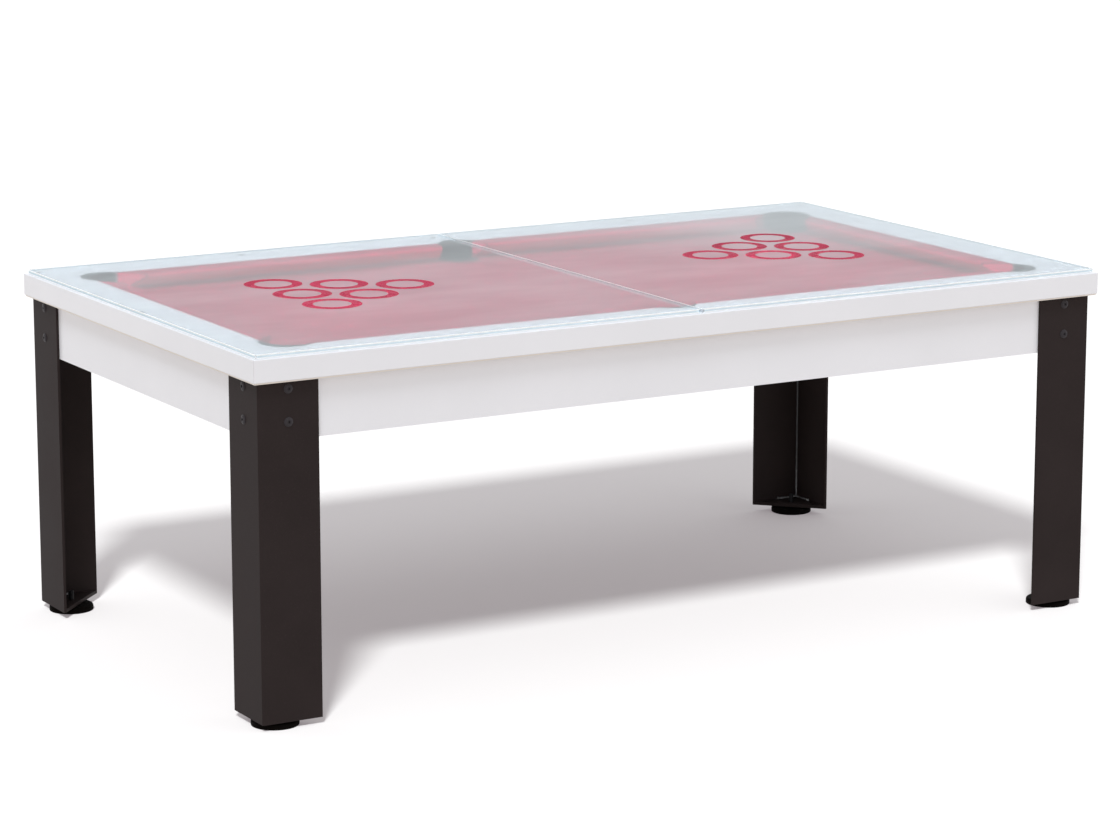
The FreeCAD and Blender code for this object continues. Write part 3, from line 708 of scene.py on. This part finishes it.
def cushion_surface(start, stop, cuts, section):
    """Skin of a cushion as (along, from rail, height): its section carried from one end to the other.

    An end is an upright plane that leans by its cut, so a section point's end moves in with its distance
    from the rail. Close to each end the rings shrink towards their middle along a quarter circle, which
    rounds the cloth over the end.
    """
    ease = 2.5 * MM
    end_steps, spans = 6, 40
    turn = np.radians(np.linspace(0.0, 90.0, end_steps))
    steps = np.linspace(0.0, 1.0, spans)[1:-1]
    still = np.zeros(steps.size)
    shrink, inset = ease * (1.0 - np.sin(turn)), ease * (1.0 - np.cos(turn))
    shrink = np.concatenate([shrink, still, shrink[::-1]])[:, None, None]
    inset = np.concatenate([inset, still, inset[::-1]])[:, None]
    share = np.concatenate([np.zeros(turn.size), steps, np.ones(turn.size)])[:, None]
    inward = section.mean(0) - section
    inward = inward / np.linalg.norm(inward, axis=1)[:, None]
    flat = section + inward * shrink
    first = start + math.tan(cuts[0]) * flat[:, :, 0] + inset
    last = stop - math.tan(cuts[1]) * flat[:, :, 0] - inset
    along = first + (last - first) * share
    return np.concatenate([along[:, :, None], flat], 2)


# Feet

def pad_profile(low, high, radius):
    """Half section of a foot pad: flat sole, round floor edge, bellied rim and dished top."""
    ease, shoulder = 2.0 * MM, 5.0 * MM
    sole, dish, boss = radius * 0.5, radius * 0.45, radius * 0.22
    dish_drop = 0.2 * MM
    return np.concatenate([
        [(sole, low)],
        rounded((radius - ease, low + ease), ease, -90.0, 0.0, steps=6),
        rounded((radius - shoulder, high - shoulder), shoulder, 0.0, 75.0, steps=8),
        [(dish, high - dish_drop), (boss, high)],
    ])


def stud_rings(centre, low, high, radius, pitch, depth):
    """Threaded stud whose radius dips with the height less the share of a turn.

    The dip is a triangle wave with flat crests and roots, and the radius tapers at the tip.
    """
    sides, per_turn, fewest = 28, 8, 8
    taper, steepness, crest = 1.5 * MM, 1.25, 0.1
    height = np.linspace(low, high, max(fewest, round((high - low) / pitch * per_turn)))[:, None]
    turn = np.linspace(0.0, 2.0 * np.pi, sides, endpoint=False)[None]
    phase = (height - low) / pitch - turn / (2.0 * np.pi)
    wave = np.abs(2.0 * (phase - np.floor(phase)) - 1.0)
    tip = np.clip((high - height) / taper, 0.0, 1.0)
    reach = radius - depth * np.clip(steepness * wave - crest, 0.0, 1.0) - (1.0 - tip) * taper
    x = centre[0] + reach * np.cos(turn)
    y = centre[1] + reach * np.sin(turn)
    return np.stack([x, y, np.broadcast_to(height, x.shape)], 2)


def weld_rings(start, stop, out, over, leg, ripple):
    """Fillet weld along a line: a quarter-round bead that beats with its ripples and ends in a blob."""
    start, stop, out, over = (np.asarray(value, float) for value in (start, stop, out, over))
    fewest, per_ripple, arc_steps = 12, 6, 7
    ripple_height, swell_height, swell_rate = 0.10, 0.05, 0.7
    end_share, blob_height, fullness, root = 0.04, 0.6, 0.85, -0.1
    run = np.linalg.norm(stop - start)
    along = np.linspace(0.0, run, max(fewest, round(run / ripple * per_ripple)))
    ripples = ripple_height * np.sin(2.0 * np.pi * along / ripple)
    swell = swell_height * np.sin(swell_rate * along / ripple)
    fade = np.sqrt(np.clip(np.minimum(along, run - along) / leg, end_share, 1.0))
    blob = 1.0 + blob_height * np.exp(-((run - along - leg) / leg) ** 2)
    size = leg * (1.0 + ripples + swell) * fade * blob
    turn = np.radians(np.linspace(0.0, 90.0, arc_steps))
    arc = np.stack([np.cos(turn) ** fullness, np.sin(turn) ** fullness], 1)
    section = np.concatenate([[(root, root)], arc])
    path = start + along[:, None] * (stop - start) / run
    spread = section[:, :1] * out + section[:, 1:] * over
    return path[:, None, :] + size[:, None, None] * spread[None]


# Operators

class POOLTABLE_OT_glass_leaves(bpy.types.Operator):
    """Frost the glass leaves, leave clear rings in them, and finish their bumpers"""
    bl_idname = "pool_table.glass_leaves"
    bl_label = "Glass leaves"

    def execute(self, context):
        scene = context.scene
        bumper = bumper_finish()
        for side in SIDES:
            finish = frosted_glass_finish(side, scene.pool_table_colours, scene.pool_table_glass)
            dress(finish, f"glass_leaf_{side}")
            dress(bumper, f"leaf_bumpers_{side}")
        return {"FINISHED"}


class POOLTABLE_OT_rails_and_aprons(bpy.types.Operator):
    """Lacquer the rails, the edge boards and the aprons"""
    bl_idname = "pool_table.rails_and_aprons"
    bl_label = "Rails and aprons"

    def execute(self, context):
        colours = context.scene.pool_table_colours
        dress(lacquer_finish("sprayed_white", tuple(colours.lacquer)),
              *(f"{piece}_{edge}" for piece in ("rail", "apron") for edge in EDGES))
        dress(lacquer_finish("sprayed_cream", tuple(colours.edge_board)),
              *(f"edge_board_{edge}" for edge in EDGES))
        return {"FINISHED"}


class POOLTABLE_OT_bed(bpy.types.Operator):
    """Lay the cloth over the slate"""
    bl_idname = "pool_table.bed"
    bl_label = "Slate and bed cloth"

    def execute(self, context):
        colours = context.scene.pool_table_colours
        soft = context.scene.pool_table_soft_goods
        dress(slate_finish(tuple(colours.slate)), "slate_bed")
        points, faces = bed_cloth_surface(soft)
        cloth = new_piece("bed_cloth_sheet", points, faces, cloth_material(colours), "table", "red_cloth")
        holes = sum(math.pi * (pocket_circle(node)[1] - soft.pocket_turn) ** 2 for node in POCKETS)
        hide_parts("bed_cloth")
        return {"FINISHED"}


class POOLTABLE_OT_cushions(bpy.types.Operator):
    """Cover the six cushions with cloth"""
    bl_idname = "pool_table.cushions"
    bl_label = "Cushions"

    def execute(self, context):
        colours = context.scene.pool_table_colours
        soft = context.scene.pool_table_soft_goods
        material = cloth_material(colours)
        dress(rubber_finish("cut_rubber", tuple(colours.rubber)), "pocket_facings")
        for row in ROWS:
            for side in SIDES:
                self.cushion(f"cushion_{row}_{side}", material, soft, along=0, rail=SIGN[row],
                             cuts=(soft.corner_cut, soft.side_cut)[::-int(SIGN[side])])
        for side in SIDES:
            self.cushion(f"cushion_{side}", material, soft, along=1, rail=SIGN[side],
                         cuts=(soft.corner_cut, soft.corner_cut))
        return {"FINISHED"}

    def cushion(self, node, material, soft, along, rail, cuts):
        """Cushion in the space of its node, drawn along the rail and then placed on the table's axes."""
        low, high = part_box(node)
        across = 1 - along
        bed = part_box("bed_cloth")[1].z
        section = cushion_section(high[across] - low[across], low.z, high.z, bed, soft)
        cover = [soft.facing / math.cos(cut) for cut in cuts]
        rings = cushion_surface(low[along] - cover[0], high[along] + cover[1], cuts, section)
        face = high[across] if rail > 0 else low[across]
        placed = np.empty_like(rings)
        placed[:, :, along] = rings[:, :, 0]
        placed[:, :, across] = face - rail * rings[:, :, 1]
        placed[:, :, 2] = rings[:, :, 2]
        piece = new_piece(f"{node}_cloth", *closed_skin(placed), material, "table", "red_cloth")
        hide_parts(node)


class POOLTABLE_OT_pockets(bpy.types.Operator):
    """Finish the six pocket liners and their cups"""
    bl_idname = "pool_table.pockets"
    bl_label = "Pockets"

    def execute(self, context):
        dress(pocket_finish(tuple(context.scene.pool_table_colours.pocket)), *POCKETS)
        return {"FINISHED"}


class POOLTABLE_OT_legs(bpy.types.Operator):
    """Coat the legs and foot plates, and add the welds between them"""
    bl_idname = "pool_table.legs"
    bl_label = "Legs and welds"

    def execute(self, context):
        colours = context.scene.pool_table_colours
        feet = context.scene.pool_table_feet
        coat = powder_coat_finish("pebbled_coat", tuple(colours.powder_coat))
        dress(coat, *(f"{piece}_{corner}" for piece in ("leg", "foot_plate") for corner in CORNERS))
        bolt = steel_finish("blackened_bolt", tuple(colours.bolt), roughness=0.38, metallic=0.0, shine=0.15)
        dress(bolt, "leg_bolts")
        plated = steel_finish("plated_steel", tuple(colours.steel), roughness=0.42, metallic=1.0)
        dress(plated, "leg_nuts", "leg_washers", "rail_bolts")
        weld = weld_finish(tuple(colours.weld))
        for corner in CORNERS:
            self.welds(corner, weld, feet)
        return {"FINISHED"}

    def welds(self, corner, material, feet):
        """A bead up the inner fold of a leg, and two over its foot plate, out from the fold."""
        row, side = corner.split("_")
        low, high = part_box(f"foot_plate_{corner}")
        in_x, in_y = -SIGN[side], -SIGN[row]
        face_x, tip_x = (low.x, high.x) if in_x > 0 else (high.x, low.x)
        face_y, tip_y = (low.y, high.y) if in_y > 0 else (high.y, low.y)
        far_x = face_x + feet.weld_run * (tip_x - face_x)
        far_y = face_y + feet.weld_run * (tip_y - face_y)
        top, under_apron = high.z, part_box("apron_front")[0].z - feet.weld_leg
        up, out_x, out_y = (0.0, 0.0, 1.0), (in_x, 0.0, 0.0), (0.0, in_y, 0.0)
        fold = (face_x, face_y, top)
        runs = {
            "fold": (fold, (face_x, face_y, under_apron), out_x, out_y),
            "row": (fold, (far_x, face_y, top), out_y, up),
            "side": (fold, (face_x, far_y, top), out_x, up),
        }
        for name, run in runs.items():
            rings = weld_rings(*run, feet.weld_leg, feet.weld_ripple)
            points, faces = closed_skin(rings)
            new_piece(f"foot_weld_{corner}_{name}", points, faces, material, "table", "black_powder_coat")


class POOLTABLE_OT_feet(bpy.types.Operator):
    """Mould the foot pads and cut the threads of their studs"""
    bl_idname = "pool_table.feet"
    bl_label = "Levelling feet"

    def execute(self, context):
        colours = context.scene.pool_table_colours
        feet = context.scene.pool_table_feet
        rubber = rubber_finish("moulded_rubber", tuple(colours.rubber))
        steel = steel_finish("blackened_steel", tuple(colours.stud), roughness=0.42, metallic=0.6)
        pad_sides = 72
        for corner in CORNERS:
            low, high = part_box(f"foot_pad_{corner}")
            centre, radius = (low + high) / 2.0, (high.x - low.x) / 2.0
            rings = turned_rings(pad_profile(low.z, high.z, radius), centre, pad_sides)
            points, faces = closed_skin(rings)
            pad = new_piece(
                f"foot_pad_{corner}_moulding", points, faces, rubber, f"foot_{corner}", "pad_rubber")
            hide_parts(f"foot_pad_{corner}")
            self.stud(corner, steel, feet)
        return {"FINISHED"}

    def stud(self, corner, steel, feet):
        """Stud with its thread, and the hexagonal collar that stops under the foot plate."""
        low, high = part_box(f"foot_stud_{corner}")
        plate_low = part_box(f"foot_plate_{corner}")[0].z
        pad_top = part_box(f"foot_pad_{corner}")[1].z
        centre = (low + high) / 2.0
        body, slot = f"stud_{corner}", "zinc_steel"
        rings = stud_rings(centre, low.z, high.z, feet.stud_radius, feet.thread_pitch, feet.thread_depth)
        stud = new_piece(f"foot_stud_{corner}_thread", *closed_skin(rings), steel, body, slot)
        sides, ease = 6, 0.4 * MM
        tip = feet.collar_flat / math.cos(math.pi / sides)
        profile = [
            (tip - ease, pad_top), (tip, pad_top + ease), (tip, plate_low - ease), (tip - ease, plate_low)]
        rings = turned_rings(profile, centre, sides)
        collar = new_piece(f"foot_stud_{corner}_collar", *closed_skin(rings), steel, body, slot)
        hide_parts(f"foot_stud_{corner}")
        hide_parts(f"foot_stud_{corner}")


class POOLTABLE_OT_timber(bpy.types.Operator):
    """Finish the bare timber inside the apron"""
    bl_idname = "pool_table.timber"
    bl_label = "Inner timber"

    def execute(self, context):
        base = tuple(context.scene.pool_table_colours.timber)
        drawn_out, dense = 6.0, 160.0
        along = timber_finish("timber_along", base, (drawn_out, dense, dense))
        across = timber_finish("timber_across", base, (dense, drawn_out, dense))
        dress(along, *(f"ledger_{row}" for row in ROWS))
        dress(across, *(f"ledger_{side}" for side in SIDES), "corner_blocks",
              *(f"cross_beam_{side}_{place}" for side in SIDES for place in ("inner", "outer")))
        return {"FINISHED"}


class POOLTABLE_OT_stage(bpy.types.Operator):
    """Set up the floor, the sky, the lamps and the camera"""
    bl_idname = "pool_table.stage"
    bl_label = "Studio stage"

    def execute(self, context):
        stage = context.scene.pool_table_stage
        floor = self.floor(stage)
        self.sky(context.scene, stage)
        key = self.lamp(context.scene, "key", stage.key_from, stage.key_strength, stage.key_spread)
        key.data.color = stage.key_tint
        floor_key = self.lamp(context.scene, "floor_key", stage.floor_key_from, stage.floor_key_strength,
                              stage.floor_key_spread)
        fill = self.lamp(context.scene, "cloth_fill", stage.cloth_fill_from, stage.cloth_fill_strength,
                         stage.key_spread)
        fill.data.use_shadow = False
        cloth = [piece for piece in context.scene.objects
                 if piece.active_material is not None and piece.active_material.name == CLOTH]
        self.link(key, [floor], "EXCLUDE")
        self.link(floor_key, [floor], "INCLUDE")
        self.link(fill, cloth, "INCLUDE")
        self.camera(context.scene, stage)
        context.scene.view_settings.view_transform = "Standard"
        return {"FINISHED"}

    def floor(self, stage):
        """Wide flat floor whose glow is seen only directly, in mirrors and through glass."""
        reach, count = 60.0, 7
        line = np.linspace(-reach, reach, count)
        x, y = np.meshgrid(line, line, indexing="ij")
        mesh = bpy.data.meshes.new("floor")
        points = np.stack([x, y, np.zeros_like(x)], 2).reshape(-1, 3)
        mesh.from_pydata(points.tolist(), [], grid_faces(count, count)[:, ::-1].tolist())
        material = bpy.data.materials.new("floor")
        material.use_nodes = True
        tree = material.node_tree
        tree.nodes.clear()
        seen = self.seen(tree)
        tone = mixed(tree, seen, tuple(stage.floor_bounce), scaled(stage.floor_tint, stage.floor_seen))
        diffuse = shade(tree, "ShaderNodeBsdfDiffuse", {"Color": tone})
        strength = maths(tree, "MULTIPLY", seen, stage.floor_glow)
        inputs = {"Color": tuple(stage.floor_glow_tint), "Strength": strength}
        glow = shade(tree, "ShaderNodeEmission", inputs)
        both = shade(tree, "ShaderNodeAddShader", {0: diffuse.outputs[0], 1: glow.outputs[0]})
        shade(tree, "ShaderNodeOutputMaterial", {"Surface": both.outputs[0]})
        mesh.materials.append(material)
        floor = bpy.data.objects.new("floor", mesh)
        bpy.context.scene.collection.objects.link(floor)
        return floor

    def seen(self, tree):
        """1 where a ray comes from the camera, straight or by mirrors and glass, and 0 elsewhere."""
        path = shade(tree, "ShaderNodeLightPath").outputs
        direct = maths(tree, "MAXIMUM", path["Is Camera Ray"], path["Is Glossy Ray"])
        direct = maths(tree, "MAXIMUM", direct, path["Is Transmission Ray"])
        unscattered = maths(tree, "SUBTRACT", 1.0, path["Diffuse Depth"], clamp=True)
        return maths(tree, "MULTIPLY", direct, unscattered)

    def sky(self, scene, stage):
        """Sky that brightens towards the horizon and the right, and is plain white where it is seen."""
        world = bpy.data.worlds.new("studio")
        world.use_nodes = True
        tree = world.node_tree
        way = shade(tree, "ShaderNodeTexCoord").outputs["Generated"]
        right, _, up = shade(tree, "ShaderNodeSeparateXYZ", {0: way}).outputs
        rise = maths(tree, "ABSOLUTE", up)
        falloff = 3.0
        glow = maths(tree, "POWER", maths(tree, "SUBTRACT", 1.0, rise, clamp=True), falloff)
        glow = maths(tree, "MULTIPLY_ADD", glow, stage.horizon_strength, stage.sky_strength)
        glow = maths(tree, "MULTIPLY", glow, maths(tree, "MULTIPLY_ADD", right, stage.sky_lean, 1.0))
        level = blended(tree, self.seen(tree), glow, 1.0)
        feed(tree, tree.nodes["Background"].inputs["Color"], WHITE)
        feed(tree, tree.nodes["Background"].inputs["Strength"], level)
        scene.world = world

    def lamp(self, scene, name, way, strength, spread):
        """Distant lamp that shines from a way."""
        data = bpy.data.lights.new(name, "SUN")
        data.energy = strength
        data.angle = spread
        lamp = bpy.data.objects.new(name, data)
        lamp.rotation_mode = "QUATERNION"
        lamp.rotation_quaternion = way.to_track_quat("Z", "Y")
        scene.collection.objects.link(lamp)
        return lamp

    def link(self, lamp, pieces, state):
        """Lets a lamp light only some pieces, or all but them."""
        lit = bpy.data.collections.new(f"{lamp.name}_lit")
        for piece in pieces:
            lit.objects.link(piece)
        for member in lit.collection_objects:
            member.light_linking.link_state = state
        lamp.light_linking.receiver_collection = lit

    def camera(self, scene, stage):
        """Camera at the photograph's place, looking down at the table."""
        sensor, farthest = 36.0, 200.0
        data = bpy.data.cameras.new("camera")
        data.sensor_width = sensor
        data.lens = sensor * stage.focal_pixels / PICTURE_WIDTH
        data.clip_end = farthest
        camera = bpy.data.objects.new("camera", data)
        camera.location = stage.camera_place
        camera.rotation_euler = (math.pi / 2.0 - stage.camera_pitch, 0.0, -stage.camera_yaw)
        scene.collection.objects.link(camera)
        scene.camera = camera


OPERATORS = (
    POOLTABLE_OT_glass_leaves,
    POOLTABLE_OT_rails_and_aprons,
    POOLTABLE_OT_bed,
    POOLTABLE_OT_cushions,
    POOLTABLE_OT_pockets,
    POOLTABLE_OT_legs,
    POOLTABLE_OT_feet,
    POOLTABLE_OT_timber,
    POOLTABLE_OT_stage,
)


class POOLTABLE_PT_sidebar(bpy.types.Panel):
    """Lists the steps that dress the table"""
    bl_idname = "POOLTABLE_PT_sidebar"
    bl_label = "Pool Table"
    bl_space_type = "VIEW_3D"
    bl_region_type = "UI"
    bl_category = "Pool Table"

    def draw(self, context):
        for operator in OPERATORS:
            self.layout.operator(operator.bl_idname)
        for name, group in GROUPS.items():
            box = self.layout.box()
            box.label(text=group.__doc__)
            for key in group.__annotations__:
                box.prop(getattr(context.scene, name), key)


def register():
    for item in (*GROUPS.values(), *OPERATORS, POOLTABLE_PT_sidebar):
        bpy.utils.register_class(item)
    for name, group in GROUPS.items():
        setattr(bpy.types.Scene, name, bpy.props.PointerProperty(type=group))


def unregister():
    for name in GROUPS:
        delattr(bpy.types.Scene, name)
    for item in reversed((*GROUPS.values(), *OPERATORS, POOLTABLE_PT_sidebar)):
        bpy.utils.unregister_class(item)


def main():
    register()
    for operator in OPERATORS:
        group, name = operator.bl_idname.split(".")
        getattr(getattr(bpy.ops, group), name)()


if __name__ == "__main__":
    main()
